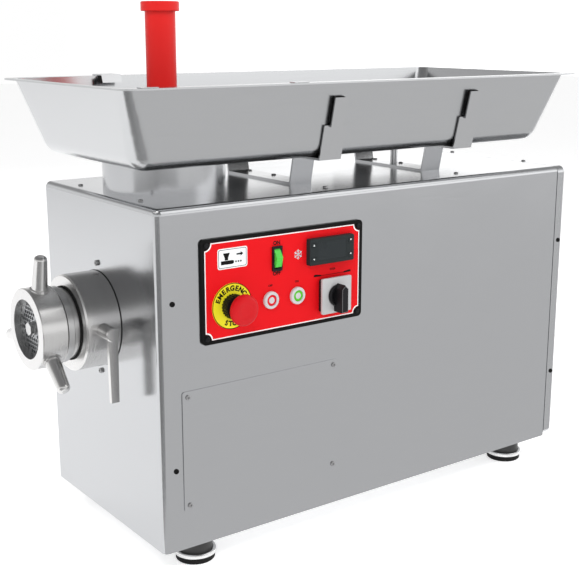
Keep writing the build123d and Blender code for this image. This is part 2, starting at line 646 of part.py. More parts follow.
def make_clamp_lever():
    """Boss with a flat tapering handle at its outer end and the clamp screw at its inner end."""
    outer_face = 69.0
    boss_radius, bar_end, bar_thickness = 9.5, AXIS_Z - 88.5, 6.0
    wide, narrow = 13.0, 10.7
    inner_face = AXIS_Y - COLLAR_RADIUS - BODY_GAP
    boss = rod_y(LEVER_X, (outer_face, inner_face), AXIS_Z, boss_radius)
    boss = chamfer(boss.faces().sort_by(Axis.Y)[0].edges(), 1.2)
    bar = Polyline((LEVER_X - wide / 2, AXIS_Z), (LEVER_X + wide / 2, AXIS_Z),
                   (LEVER_X + narrow / 2, bar_end), (LEVER_X - narrow / 2, bar_end), close=True)
    bar = extrude(Plane.XZ * make_face(bar), -bar_thickness)
    screw = rod_y(LEVER_X, (inner_face - 6, AXIS_Y - BARREL_RADIUS - BODY_GAP), AXIS_Z, 5.0)
    return boss + Pos(0, outer_face + 1.0, 0) * bar + screw


def make_ring_nut():
    """Ring nut with a deep lip, a threaded skirt and three raised handle seats."""
    skirt_radius, lip_back = 49.0, PLATE_FRONT - BODY_GAP
    ring = on_axis((RING_FRONT, RING_BACK), RING_RADIUS)
    ring = fillet(ring.faces().sort_by(Axis.X)[0].edges(), 1.6)
    ring = fillet(ring.faces().sort_by(Axis.X)[-1].edges(), 1.0)
    for seat in on_handle_lines(RING_RADIUS - 6, RING_RADIUS + 1.6, 12.8, 12.2):
        ring += seat
    ring -= on_axis((RING_FRONT - 1, RING_BACK + 1), APERTURE_RADIUS)
    ring -= on_axis((lip_back, RING_BACK + 1), skirt_radius)
    for root in handle_cones(RING_RADIUS + 4, RUNNING_CLEARANCE):
        ring -= root
    return ring


def handle_cones(end, gap):
    """The handles' cones from their roots in the ring out to a radius, gap larger all round."""
    root_radius, taper = 10.5, 0.046
    root = RING_RADIUS - 2.4 - gap
    return on_handle_lines(root, end, root_radius + gap, root_radius + gap - taper * (end - root))


def on_handle_lines(low, high, low_radius, high_radius):
    """Three cones standing radially on the ring nut, from one radius to another."""
    handle_x = -86.0
    first = 12.0
    cones = []
    for index in range(3):
        turn = Rot(first + index * 120, 0, 0)
        cone = Pos(0, 0, (low + high) / 2) * Cone(low_radius, high_radius, high - low)
        cones.append(Pos(handle_x, AXIS_Y, AXIS_Z) * turn * cone)
    return cones


def make_ring_handles():
    """Three tapering rod handles with domed ends."""
    tip, dome = 98.0, 5.0
    handles = []
    for cone in handle_cones(tip, 0.0):
        ends = cone.edges().filter_by(GeomType.CIRCLE).sort_by(SortBy.RADIUS)
        handles.append(fillet(ends[0], dome))
    return handles


def make_grinding_plate():
    """Perforated plate: a centre bore, a key notch and rings of holes."""
    hole_radius, bore_radius = 2.4, 9.0
    plate = on_axis((PLATE_FRONT, PLATE_FRONT + PLATE_THICKNESS), PLATE_RADIUS)
    through = (PLATE_FRONT - 1, PLATE_FRONT + PLATE_THICKNESS + 1)
    cutters = [on_axis(through, bore_radius + RUNNING_CLEARANCE)]
    pitch, field_radius, land = 6.3, 36.0, 3.4
    rows = int(field_radius / (pitch * sqrt(3) / 2))
    for row in range(-rows, rows + 1):
        z = row * pitch * sqrt(3) / 2
        for column in range(-7, 8):
            y = (column + (row % 2) / 2) * pitch
            if bore_radius + land < sqrt(y * y + z * z) < field_radius:
                cutters.append(rod_x(through, AXIS_Y + y, AXIS_Z + z, hole_radius))
    plate -= cutters
    return plate


def make_knife():
    """Four-bladed knife on the square of the auger, 0.3 mm behind the plate."""
    front = PLATE_FRONT + PLATE_THICKNESS + BODY_GAP
    back = front + 11.0
    knife = on_axis((front, back), 14.0)
    for index in range(4):
        blade = Pos((front + back) / 2, AXIS_Y, AXIS_Z) * Rot(index * 90, 0, 0) * Pos(0, 3.0, 20.0)
        knife += blade * Box(back - front, 9.0, 36.0)
    knife = knife & on_axis((front - 1, back + 1), 37.0)
    return knife - block((front - 1, back + 1), around(AXIS_Y, 7.05), around(AXIS_Z, 7.05))


def make_auger():
    """Feed screw: core, flight, rear journal with a drive square, knife square and nose stud."""
    flight_radius, core_radius = BORE_RADIUS - 1.0, 15.0
    flight_start, flight_end, pitch, flight_width = -52.0, 152.0, 48.0, 7.0
    core = on_axis((-68.5, 156), core_radius)
    core += on_axis((150, 174), 15.0)
    core += block((172, 200), around(AXIS_Y, 9), around(AXIS_Z, 9))
    plate_back = PLATE_FRONT + PLATE_THICKNESS
    core += block((plate_back + BODY_GAP, -66), around(AXIS_Y, 7), around(AXIS_Z, 7))
    core += on_axis((PLATE_FRONT - 4, plate_back + BODY_GAP), 9.0)
    nose_radius, nose_reach = 8.8, 8.5
    nose = extrude(RegularPolygon(nose_radius, 6), nose_reach)
    core += Pos(PLATE_FRONT - 0.5, AXIS_Y, AXIS_Z) * Rot(0, -90, 0) * nose
    path = Helix(pitch, flight_end - flight_start - flight_width, core_radius - 2)
    depth = flight_radius - core_radius + 2
    start = Plane(origin=path @ 0, z_dir=path % 0, x_dir=(1, 0, 0))
    section = start * Pos(depth / 2, 0) * Rectangle(depth, flight_width)
    flight = sweep(section, path, is_frenet=True)
    place = Pos(flight_start + flight_width / 2, AXIS_Y, AXIS_Z) * Rot(0, 90, 0)
    return core + place * flight


# ---- drive --------------------------------------------------------------------------------
def gear_outline(teeth, first_angle):
    """Involute spur gear outline in its own plane; backlash is taken off both flanks."""
    pressure, backlash = radians(20), 0.36
    pitch_radius = GEAR_MODULE * teeth / 2
    base_radius = pitch_radius * cos(pressure)
    root_radius = pitch_radius - 1.25 * GEAR_MODULE
    tip_radius = pitch_radius + 0.95 * GEAR_MODULE
    half_pitch = (pi * GEAR_MODULE / 2 - backlash) / (2 * pitch_radius)

    def half_angle(radius):
        reach = acos(min(1.0, base_radius / radius))
        return half_pitch + (tan(pressure) - pressure) - (tan(reach) - reach)

    start = max(base_radius, root_radius)
    flank = [start, (start + pitch_radius) / 2, pitch_radius, (pitch_radius + tip_radius) / 2, tip_radius]
    side = [(root_radius, half_angle(start))] + [(r, half_angle(r)) for r in flank]
    points = []
    for tooth in range(teeth):
        middle = first_angle + 2 * pi * tooth / teeth
        for radius, angle in side:
            points.append((radius * cos(middle - angle), radius * sin(middle - angle)))
        for radius, angle in reversed(side):
            points.append((radius * cos(middle + angle), radius * sin(middle + angle)))
    clean = [p for i, p in enumerate(points) if (Vector(*p) - Vector(*points[i - 1])).length > 0.02]
    return make_face(Polyline(*clean, close=True))


def make_gear(teeth, first_angle, z, width_x):
    """Spur gear on an axis parallel to x."""
    blank = extrude(gear_outline(teeth, first_angle), width_x[1] - width_x[0])
    return Pos(width_x[0], AXIS_Y, z) * Rot(0, 90, 0) * blank


def make_output_shaft():
    """Output shaft cut in one piece with its gear, and the square socket of the auger."""
    shaft = on_axis((178, 258), 20.0) + make_gear(GEAR_TEETH, 0.0, AXIS_Z, GEAR_X)
    return shaft - block((177, 204), around(AXIS_Y, 9.05), around(AXIS_Z, 9.05))


def make_shaft_bearings():
    """Two ball-bearing rings that carry the output shaft in the gearbox walls."""
    rings = []
    for x in ((GEARBOX_X[0], GEARBOX_X[0] + 12), (GEARBOX_X[1] - 12, GEARBOX_X[1])):
        ring = on_axis(x, 31.0) - on_axis((x[0] - 1, x[1] + 1), 20.0 + RUNNING_CLEARANCE)
        rings.append(fillet(ring.edges().filter_by(GeomType.CIRCLE).sort_by(SortBy.RADIUS)[-2:], 1.0))
    return rings


def make_gearbox_housing():
    """Cast gearbox: hollow case with bearing bores, a web to the base frame."""
    wall, half_width = 6.0, 101.0
    low, high = MOTOR_Z - 32, AXIS_Z + 101
    case = block(GEARBOX_X, around(AXIS_Y, half_width), (low, high))
    case = fillet(case.edges().filter_by(Axis.X), 20)
    hollow = block((GEARBOX_X[0] + wall, GEARBOX_X[1] - wall), around(AXIS_Y, half_width - wall),
                   (low + wall, high - wall))
    case -= hollow
    case += block((GEARBOX_X[0] + 6, GEARBOX_X[1] - 6), around(AXIS_Y, 70), (FRAME_TOP, low + 2))
    for x in ((GEARBOX_X[0], GEARBOX_X[0] + 14), (GEARBOX_X[1] - 14, GEARBOX_X[1])):
        case += on_axis(x, 40.0)
    case -= on_axis((GEARBOX_X[0] - 1, GEARBOX_X[1] + 1), 31.0)
    return case - rod_x((GEARBOX_X[1] - 20, GEARBOX_X[1] + 1), AXIS_Y, MOTOR_Z, SHAFT_RADIUS + 1.0)


def make_pinion_shaft():
    """Motor shaft with the pinion at its front and the cooling fan's seat at its rear."""
    shaft = rod_x((GEAR_X[0] - 6, MOTOR_X[1] + 26), AXIS_Y, MOTOR_Z, SHAFT_RADIUS)
    half_tooth = pi / PINION_TEETH
    return shaft + make_gear(PINION_TEETH, pi + half_tooth, MOTOR_Z, GEAR_X)


def make_motor():
    """Finned motor with a flange, feet on the base frame and a terminal box."""
    fin_count, body_radius = 28, MOTOR_RADIUS - 7
    ends = (MOTOR_X[0] + 12, MOTOR_X[1] - 4)
    motor = rod_x(ends, AXIS_Y, MOTOR_Z, body_radius)
    motor += rod_x((MOTOR_X[0], MOTOR_X[0] + 12), AXIS_Y, MOTOR_Z, MOTOR_RADIUS)
    fin = Pos(0, 0, body_radius + 3) * Box(ends[1] - ends[0] - 24, 2.0, 8.0)
    for index in range(fin_count):
        turned = Rot(index * 360 / fin_count, 0, 0) * fin
        motor += Pos(sum(ends) / 2, AXIS_Y, MOTOR_Z) * turned
    for x in (MOTOR_X[0] + 50, MOTOR_X[1] - 50):
        motor += block(around(x, 12), around(AXIS_Y, 50), (FRAME_TOP, MOTOR_Z - body_radius + 12))
    motor += block((MOTOR_X[0] + 60, MOTOR_X[0] + 130), (AXIS_Y + 40, AXIS_Y + 96), around(MOTOR_Z, 34))
    return motor - rod_x((MOTOR_X[0] - 1, MOTOR_X[1]), AXIS_Y, MOTOR_Z, SHAFT_RADIUS + RUNNING_CLEARANCE)


def make_motor_fan():
    """Radial cooling fan at the motor's rear end."""
    x = (MOTOR_X[1] + 4, MOTOR_X[1] + 22)
    fan = rod_x(x, AXIS_Y, MOTOR_Z, 16.0)
    fan += rod_x((x[0], x[0] + 2.5), AXIS_Y, MOTOR_Z, 55.0)
    for index in range(7):
        blade = Rot(index * 360 / 7, 0, 0) * Pos(0, 0, 34) * Box(x[1] - x[0], 2.5, 40.0)
        fan += Pos(sum(x) / 2, AXIS_Y, MOTOR_Z) * blade
    return fan - rod_x((x[0] - 1, x[1] + 1), AXIS_Y, MOTOR_Z, SHAFT_RADIUS)


# ---- cooling unit and electrics -----------------------------------------------------------
def make_compressor():
    """Hermetic compressor: a domed pot on a foot plate with rubber-mounted feet."""
    x, y, radius = 590.0, 96.0, 62.0
    plate_top = FRAME_TOP + 12
    pot = rod_z(x, y, (plate_top, plate_top + 150), radius)
    pot = fillet(pot.faces().sort_by(Axis.Z)[-1].edges(), 40)
    pot = fillet(pot.faces().sort_by(Axis.Z)[0].edges(), 10)
    pot += rod_z(x, y, (plate_top + 68, plate_top + 74), radius + 4)
    plate = block(around(x, 55), around(y, 62), (plate_top - 4, plate_top))
    for dx in (-42, 42):
        for dy in (-48, 48):
            plate += rod_z(x + dx, y + dy, (FRAME_TOP, plate_top - 3), 9.0)
    return pot + plate + rod_z(x - 30, y + 10, (plate_top + 120, plate_top + 165), 4.0)


def make_condenser():
    """Finned condenser block behind the louvres."""
    x = (655.0, 684.0)
    y, z = around(FAN_Y - 2, 64), around(FAN_Z, 74)
    core = None
    for end_y in y:
        plate = block(x, around(end_y, 1.5), (FRAME_TOP, z[1]))
        core = plate if core is None else core + plate
    for row in range(6):
        tube_z = z[0] + 12 + row * 25
        core += rod_y(sum(x) / 2, y, tube_z, 4.5)
    fin_count = 16
    for index in range(fin_count):
        fin_y = y[0] + (index + 0.5) * (y[1] - y[0]) / fin_count
        core += block((x[0] + 2, x[1] - 2), around(fin_y, 0.6), z)
    return core


def make_fan_motor():
    """Small motor of the condenser fan on a bracket."""
    motor = rod_x((578, 616), FAN_Y, FAN_Z, 22.0)
    motor += block((586, 606), around(FAN_Y, 16), (FRAME_TOP, FAN_Z))
    return motor - rod_x((590, 617), FAN_Y, FAN_Z, 3.0 + RUNNING_CLEARANCE)


def make_condenser_fan():
    """Five-bladed axial fan and its spindle."""
    hub = (619.0, 634.0)
    fan = rod_x(hub, FAN_Y, FAN_Z, 14.0) + rod_x((592, 620), FAN_Y, FAN_Z, 3.0)
    for index in range(5):
        blade = Rot(index * 72, 0, 0) * Pos(0, 0, 31) * Rot(0, 0, 28) * Box(2.0, 26.0, 42.0)
        fan += Pos(sum(hub) / 2, FAN_Y, FAN_Z) * blade
    return fan


def make_electrical_box():
    """Box for the contactor and relays, open towards the controls."""
    x, y, z = (330.0, 470.0), (SHEET + 1.0, 74.0), (268.0, 402.0)
    wall = 2.0
    box = block(x, y, z)
    box -= block((x[0] + wall, x[1] - wall), (y[0] - 1, y[1] - wall), (z[0] + wall, z[1] - wall))
    box += block((x[0] + 12, x[0] + 60), (36.0, y[1]), (z[0] + 30, z[0] + 100))
    return box + block((x[0] + 74, x[0] + 118), (40.0, y[1]), (z[0] + 40, z[0] + 92))


def make_cable_gland():
    """Gland in the rear cover: hex body, domed nut outside and a lock nut inside."""
    face = CABINET_LENGTH
    gland = rod_x((face - 12, face + GLAND_REACH - 3), GLAND_Y, GLAND_Z, 8.0)
    hexes = extrude(RegularPolygon(13.0, 6), 5.0)
    gland += Pos(face, GLAND_Y, GLAND_Z) * Rot(0, 90, 0) * hexes
    dome = rod_x((face + 5, face + GLAND_REACH), GLAND_Y, GLAND_Z, 11.0)
    gland += fillet(dome.faces().sort_by(Axis.X)[-1].edges(), 4)
    gland += Pos(face - SHEET - 4, GLAND_Y, GLAND_Z) * Rot(0, 90, 0) * extrude(RegularPolygon(12.0, 6), 4.0)
    return gland - rod_x((face - 13, face + GLAND_REACH + 1), GLAND_Y, GLAND_Z, 4.5)


# ---- write every node ---------------------------------------------------------------------
def main():
    os.makedirs("parts", exist_ok=True)
    save("cabinet", make_cabinet())
    save("rear_cover", make_rear_cover())
    save("base_pan", make_base_pan())
    save("base_frame", make_base_frame())
    save("access_panel", make_access_panel())
    save("casing_screws", *make_casing_screws())
    pads, cups, hubs = make_feet()
    save("foot_pads", *pads)
    save("foot_cups", *cups)
    save("foot_hubs", *hubs)

    save("panel_frame", make_panel_frame())
    save("panel_overlay", make_panel_overlay())
    save("panel_screws", *make_panel_screws())
    save("estop_label", make_estop_label())
    save("estop_collar", make_estop_collar())
    save("estop_stem", make_estop_stem())
    save("estop_head", make_estop_head())
    for name, x in (("off", OFF_X), ("on", ON_X)):
        bezel, cap = make_button(x)
        save(f"{name}_bezel", bezel)
        save(f"{name}_button", cap)
    save("rocker_bezel", make_rocker_bezel())
    save("rocker", make_rocker())
    save("thermostat_case", make_thermostat_case())
    save("thermostat_display", make_thermostat_display())
    for number, (x, z) in enumerate(thermostat_keys_at(), start=1):
        save(f"thermostat_key_{number}", make_thermostat_key(x, z))
    save("cam_switch_body", make_cam_switch_body())
    save("cam_switch_plate", make_cam_switch_plate())
    save("cam_switch_handle", make_cam_switch_handle())

    save("tray", make_tray())
    for number, x in enumerate(BRACKET_X, start=1):
        save(f"tray_bracket_{number}", make_tray_bracket(x))
    save("tray_post", make_tray_post())
    save("feed_neck", make_feed_neck())
    save("throat_tube", make_throat_tube())
    save("cooling_coil", make_cooling_coil())
    save("plunger", make_plunger())

    save("barrel", make_barrel())
    save("head_collar", make_head_collar())
    save("head_bolts", *make_head_bolts())
    save("clamp_lever", make_clamp_lever())
    save("ring_nut", make_ring_nut())
    save("ring_handles", *make_ring_handles())
    save("grinding_plate", make_grinding_plate())
    save("knife", make_knife())
    save("auger", make_auger())

    save("output_shaft", make_output_shaft())
    save("shaft_bearings", *make_shaft_bearings())
    save("gearbox_housing", make_gearbox_housing())
    save("pinion_shaft", make_pinion_shaft())
    save("motor", make_motor())
    save("motor_fan", make_motor_fan())

    save("compressor", make_compressor())
    save("condenser", make_condenser())
    save("fan_motor", make_fan_motor())
    save("condenser_fan", make_condenser_fan())
    save("electrical_box", make_electrical_box())
    save("cable_gland", make_cable_gland())


main()
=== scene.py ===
import json
from math import cos, pi, radians, sin

import bmesh
import bpy
from mathutils import Matrix, Vector


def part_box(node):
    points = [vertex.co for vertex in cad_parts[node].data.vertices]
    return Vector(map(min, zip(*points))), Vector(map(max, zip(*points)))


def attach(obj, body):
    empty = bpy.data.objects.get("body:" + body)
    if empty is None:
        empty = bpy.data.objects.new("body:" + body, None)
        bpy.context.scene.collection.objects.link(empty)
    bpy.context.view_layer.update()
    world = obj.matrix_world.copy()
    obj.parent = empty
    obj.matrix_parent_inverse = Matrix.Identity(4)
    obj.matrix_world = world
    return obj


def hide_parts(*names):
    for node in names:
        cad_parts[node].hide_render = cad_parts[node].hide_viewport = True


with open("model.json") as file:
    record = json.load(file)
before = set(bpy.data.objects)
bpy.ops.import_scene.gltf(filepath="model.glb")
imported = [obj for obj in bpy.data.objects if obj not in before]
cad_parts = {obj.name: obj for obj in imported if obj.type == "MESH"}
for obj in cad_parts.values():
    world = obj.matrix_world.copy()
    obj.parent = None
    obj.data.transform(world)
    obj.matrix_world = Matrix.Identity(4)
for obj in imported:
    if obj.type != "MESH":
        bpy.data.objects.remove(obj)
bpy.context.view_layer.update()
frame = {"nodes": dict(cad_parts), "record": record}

# The looks of a refrigerated bench meat grinder. Metres, in the frame of the CAD part: +X from the
# grinding head to the rear cover, +Y from the control side to the far side, +Z up.

MM = 0.001
NODES = frame["nodes"]


# ---- places taken from the frame ----------------------------------------------------------
def low(node):
    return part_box(node)[0]


def high(node):
    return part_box(node)[1]


def centre(node):
    corner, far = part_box(node)
    return (corner + far) / 2


PRINT = 0.12 * MM  # thickness of all print
PANEL_FRONT = low("panel_overlay").y
TRAY_RIM = high("tray").z
TRAY_FLANGE = 17.4 * MM  # from the rim's edge to the wall, at rim height
WALL_SLOPE = 0.24  # how far the tray's side walls lean in for each unit down


# ---- node materials -----------------------------------------------------------------------
def new_material(name):
    material = bpy.data.materials.new(name)
    material.use_nodes = True
    tree = material.node_tree
    shader = tree.nodes["Principled BSDF"]
    return material, tree, shader


def noise(tree, scale, detail=3.0, stretch=(1, 1, 1)):
    """Noise in the piece's own coordinates, stretched by a factor along each axis."""
    place = tree.nodes.new("ShaderNodeTexCoord")
    mapping = tree.nodes.new("ShaderNodeMapping")
    mapping.inputs["Scale"].default_value = stretch
    texture = tree.nodes.new("ShaderNodeTexNoise")
    texture.inputs["Scale"].default_value = scale
    texture.inputs["Detail"].default_value = detail
    tree.links.new(place.outputs["Object"], mapping.inputs["Vector"])
    tree.links.new(mapping.outputs["Vector"], texture.inputs["Vector"])
    return texture.outputs["Fac"]


def spread(tree, value, lowest, highest, start=0.3, end=0.7):
    """Map a noise value to a range."""
    node = tree.nodes.new("ShaderNodeMapRange")
    node.inputs["From Min"].default_value = start
    node.inputs["From Max"].default_value = end
    node.inputs["To Min"].default_value = lowest
    node.inputs["To Max"].default_value = highest
    tree.links.new(value, node.inputs["Value"])
    return node.outputs["Result"]


def shade(tree, value, colour, variation):
    """Colour that varies a little, darker and lighter, with a value."""
    ramp = tree.nodes.new("ShaderNodeValToRGB")
    ends = ramp.color_ramp.elements
    ends[0].position, ends[1].position = 0.3, 0.7
    ends[0].color = [c * (1 - variation) for c in colour] + [1]
    ends[1].color = [min(1.0, c * (1 + variation)) for c in colour] + [1]
    tree.links.new(value, ramp.inputs["Fac"])
    return ramp.outputs["Color"]


def add_bump(tree, shader, height, strength, distance):
    bump = tree.nodes.new("ShaderNodeBump")
    bump.inputs["Strength"].default_value = strength
    bump.inputs["Distance"].default_value = distance
    tree.links.new(height, bump.inputs["Height"])
    tree.links.new(bump.outputs["Normal"], shader.inputs["Normal"])


def steel(name, colour, roughness, grain=(1, 1, 1), grain_scale=900.0, bump=0.05, variation=0.012):
    """Steel or another bare metal: fine grain in the bump and colour, soft clouds in the finish."""
    material, tree, shader = new_material(name)
    shader.inputs["Metallic"].default_value = 1.0
    grain_value = noise(tree, grain_scale, 4.0, grain)
    cloud_value = noise(tree, 9.0, 2.0)
    tree.links.new(shade(tree, grain_value, colour, variation), shader.inputs["Base Color"])
    mixed = tree.nodes.new("ShaderNodeMath")
    mixed.operation = "ADD"
    tree.links.new(spread(tree, grain_value, -0.015, 0.015), mixed.inputs[0])
    tree.links.new(spread(tree, cloud_value, roughness - 0.015, roughness + 0.015), mixed.inputs[1])
    tree.links.new(mixed.outputs["Value"], shader.inputs["Roughness"])
    add_bump(tree, shader, grain_value, bump, 0.0001)
    return material


def plastic(name, colour, roughness, texture_scale=600.0, bump=0.06, coat=0.0, variation=0.05,
            specular=0.25):
    """Moulded plastic: a fine surface texture and slight clouds of colour and gloss."""
    material, tree, shader = new_material(name)
    fine = noise(tree, texture_scale, 2.0)
    cloud = noise(tree, 14.0, 3.0)
    tree.links.new(shade(tree, cloud, colour, variation), shader.inputs["Base Color"])
    tree.links.new(spread(tree, cloud, roughness * 0.88, roughness * 1.12), shader.inputs["Roughness"])
    shader.inputs["Specular IOR Level"].default_value = specular
    shader.inputs["Coat Weight"].default_value = coat
    shader.inputs["Coat Roughness"].default_value = 0.08
    add_bump(tree, shader, fine, bump, 0.0001)
    return material


def paint(name, colour, roughness, metallic=0.0):
    """Painted or cast metal with an orange-peel surface."""
    material, tree, shader = new_material(name)
    shader.inputs["Metallic"].default_value = metallic
    peel = noise(tree, 220.0, 3.0)
    cloud = noise(tree, 8.0, 3.0)
    tree.links.new(shade(tree, cloud, colour, 0.08), shader.inputs["Base Color"])
    tree.links.new(spread(tree, peel, roughness * 0.85, roughness * 1.15), shader.inputs["Roughness"])
    add_bump(tree, shader, peel, 0.12, 0.0002)
    return material


def screw_painted_shade(name):
    """Screws painted nearly black as painted shade, in bands near the cabinet's two ends; plain steel on top,
    on the head and elsewhere.
    """
    material, tree, shader = new_material(name)
    shader.inputs["Metallic"].default_value = 0.8
    place = tree.nodes.new("ShaderNodeTexCoord")
    split = tree.nodes.new("ShaderNodeSeparateXYZ")
    ramp = tree.nodes.new("ShaderNodeValToRGB")
    tree.links.new(place.outputs["Object"], split.inputs["Vector"])
    cabinet_low, cabinet_high = low("cabinet").x, high("cabinet").x
    tree.links.new(spread(tree, split.outputs["X"], 0.0, 1.0, cabinet_low, cabinet_high), ramp.inputs["Fac"])
    stops = ramp.color_ramp.elements
    ramp.color_ramp.interpolation = "CONSTANT"
    # Near-black is painted shade for the screws that look dark, in bands near the cabinet's two ends.
    plain, shade_black = (0.36, 0.36, 0.365, 1), (0.012, 0.012, 0.012, 1)
    stops[0].position, stops[0].color = 0.0, plain
    stops[1].position, stops[1].color = 0.97, shade_black
    for share_of_length, colour in ((0.012, shade_black), (0.036, plain)):
        stops.new(share_of_length).color = colour
    # Screws on the cabinet's top keep the plain steel colour; only the side ones get the painted shade.
    on_top = tree.nodes.new("ShaderNodeMath")
    on_top.operation = "GREATER_THAN"
    on_top.inputs[1].default_value = high("cabinet").z - 0.5 * MM
    tree.links.new(split.outputs["Z"], on_top.inputs[0])
    mix = tree.nodes.new("ShaderNodeMix")
    mix.data_type = "RGBA"
    # The mix node's sockets share their names, so its colour ones are taken by place.
    factor, below, above, result = mix.inputs[0], mix.inputs[6], mix.inputs[7], mix.outputs[2]
    above.default_value = plain
    tree.links.new(on_top.outputs["Value"], factor)
    tree.links.new(ramp.outputs["Color"], below)
    tree.links.new(result, shader.inputs["Base Color"])
    fine = noise(tree, 900.0, 2.0)
    tree.links.new(spread(tree, fine, 0.30, 0.42), shader.inputs["Roughness"])
    add_bump(tree, shader, fine, 0.05, 0.0001)
    return material


def make_materials():
    """One material for each of the record's slots, and the few that only the looks need."""
    along_x, along_z, turned = (0.02, 1, 1), (1, 1, 0.02), (1, 0.05, 0.05)
    return {
        "cabinet_steel": steel("cabinet_steel", (0.525, 0.532, 0.545), 0.20, along_x, 700, 0.015),
        "tray_steel": steel("tray_steel", (0.545, 0.552, 0.562), 0.24, along_x, 700, 0.015),
        "bracket_steel": steel("bracket_steel", (0.55, 0.555, 0.565), 0.24, along_z, 700, 0.02),
        "head_steel": steel("head_steel", (0.70, 0.695, 0.69), 0.25, turned, 800, 0.05),
        "cast_steel": steel("cast_steel", (0.60, 0.60, 0.60), 0.30, (1, 1, 1), 500, 0.12),
        "blade_steel": steel("blade_steel", (0.50, 0.51, 0.52), 0.45, turned, 800, 0.06),
        # Screws: nearly black in places as painted shade, plain steel elsewhere.
        "screw_dark": screw_painted_shade("screw_dark"),
        "foot_steel": steel("foot_steel", (0.74, 0.74, 0.74), 0.22, (1, 1, 0.05), 900, 0.05),
        "bearing_steel": steel("bearing_steel", (0.62, 0.62, 0.64), 0.15, turned, 900, 0.04),
        "gear_steel": steel("gear_steel", (0.50, 0.50, 0.52), 0.28, turned, 700, 0.08),
        "condenser_fins": steel("condenser_fins", (0.70, 0.71, 0.73), 0.30, along_z, 900, 0.06),
        "coil_copper": steel("coil_copper", (0.80, 0.42, 0.27), 0.28, (1, 1, 1), 400, 0.06),
        "switch_plate": plastic("switch_plate", (0.50, 0.50, 0.505), 0.38, 700, 0.04, specular=0.15),
        "foot_hub": plastic("foot_hub", (0.05, 0.05, 0.05), 0.45, 500, 0.10),
        "foot_rubber": plastic("foot_rubber", (0.010, 0.010, 0.010), 0.70, 400, 0.20, specular=0.15),
        "panel_black": plastic("panel_black", (0.004, 0.004, 0.004), 0.45, 900, 0.08, specular=0.12),
        "overlay_red": plastic("overlay_red", (0.72, 0.006, 0.010), 0.50, 1200, 0.02, 0.0, 0.015, 0.06),
        "label_yellow": plastic("label_yellow", (0.82, 0.74, 0.02), 0.50, 900, 0.03, 0.0, 0.03, 0.12),
        "black_plastic": plastic("black_plastic", (0.008, 0.008, 0.009), 0.38, 700, 0.06, specular=0.22),
        "stop_red": plastic("stop_red", (0.56, 0.006, 0.010), 0.36, 700, 0.04, 0.0, 0.03, 0.16),
        "ring_red": plastic("ring_red", (0.70, 0.01, 0.02), 0.34, 700, 0.03, specular=0.15),
        "ring_green": plastic("ring_green", (0.10, 0.50, 0.02), 0.34, 700, 0.03, specular=0.15),
        "cap_light": plastic("cap_light", (0.56, 0.55, 0.56), 0.34, 700, 0.03, specular=0.2),
        "rocker_green": plastic("rocker_green", (0.08, 0.55, 0.06), 0.26, 700, 0.03, specular=0.3),
        "thermostat_grey": plastic("thermostat_grey", (0.022, 0.027, 0.028), 0.46, 900, 0.06, specular=0.12),
        "display_black": plastic("display_black", (0.026, 0.031, 0.033), 0.30, 500, 0.01, specular=0.12),
        "key_black": plastic("key_black", (0.024, 0.029, 0.030), 0.46, 900, 0.05, specular=0.12),
        "plunger_red": plastic("plunger_red", (0.80, 0.020, 0.018), 0.36, 500, 0.03, 0.0, 0.03, 0.16),
        "fan_plastic": plastic("fan_plastic", (0.05, 0.05, 0.055), 0.40, 500, 0.08),
        "gland_grey": plastic("gland_grey", (0.045, 0.045, 0.05), 0.45, 600, 0.10),
        "gearbox_cast": paint("gearbox_cast", (0.20, 0.22, 0.24), 0.55, 0.3),
        "frame_paint": paint("frame_paint", (0.09, 0.095, 0.10), 0.50),
        "motor_paint": paint("motor_paint", (0.05, 0.09, 0.14), 0.38),
        "compressor_black": paint("compressor_black", (0.015, 0.015, 0.016), 0.30),
        "box_grey": paint("box_grey", (0.42, 0.43, 0.44), 0.45),
        "print_black": plastic("print_black", (0.006, 0.006, 0.006), 0.55, 900, 0.02, specular=0.1),
        "print_white": plastic("print_white", (0.82, 0.86, 0.86), 0.45, 900, 0.02),
        "print_cyan": plastic("print_cyan", (0.52, 0.80, 0.84), 0.45, 900, 0.02),
        # Light grey for the painted highlight along the cam grip's edges.
        "highlight_grey": plastic("highlight_grey", (0.16, 0.16, 0.165), 0.35, 700, 0.04, specular=0.3),
        "bright_bead": steel("bright_bead", (0.88, 0.88, 0.88), 0.14, (1, 1, 1), 500, 0.08),
    }


MATERIALS = make_materials()


def finish_cad_nodes():
    """Give every carried-over CAD node its slot's material."""
    for row in frame["record"]["subparts"]:
        mesh = NODES[row["node"]].data
        mesh.materials.clear()
        mesh.materials.append(MATERIALS[row["material_slot"]])


# ---- mesh helpers -------------------------------------------------------------------------
def add_piece(name, build, material, body, smooth_angle=35.0):
    """Link a bmesh as a piece that rides on a body."""
    mesh = bpy.data.meshes.new(name)
    bmesh.ops.recalc_face_normals(build, faces=build.faces)
    build.to_mesh(mesh)
    build.free()
    piece = bpy.data.objects.new(name, mesh)
    bpy.context.scene.collection.objects.link(piece)
    mesh.materials.append(MATERIALS[material])
    for face in mesh.polygons:
        face.use_smooth = True
    mesh.set_sharp_from_angle(angle=radians(smooth_angle))
    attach(piece, body)
    return piece


def lathe(build, profile, origin, axis, segments=96):
    """Revolve (distance along the axis, radius) points round an axis through an origin."""
    axis = Vector(axis).normalized()
    side = axis.orthogonal().normalized()
    other = axis.cross(side)
    rings = []
    for along, radius in profile:
        ring = []
        for index in range(segments):
            turn = 2 * pi * index / segments
            offset = (side * cos(turn) + other * sin(turn)) * radius
            ring.append(build.verts.new(Vector(origin) + axis * along + offset))
        rings.append(ring)
    for first, second in zip(rings, rings[1:] + rings[:1]):
        for index in range(segments):
            after = (index + 1) % segments
            build.faces.new((first[index], first[after], second[after], second[index]))


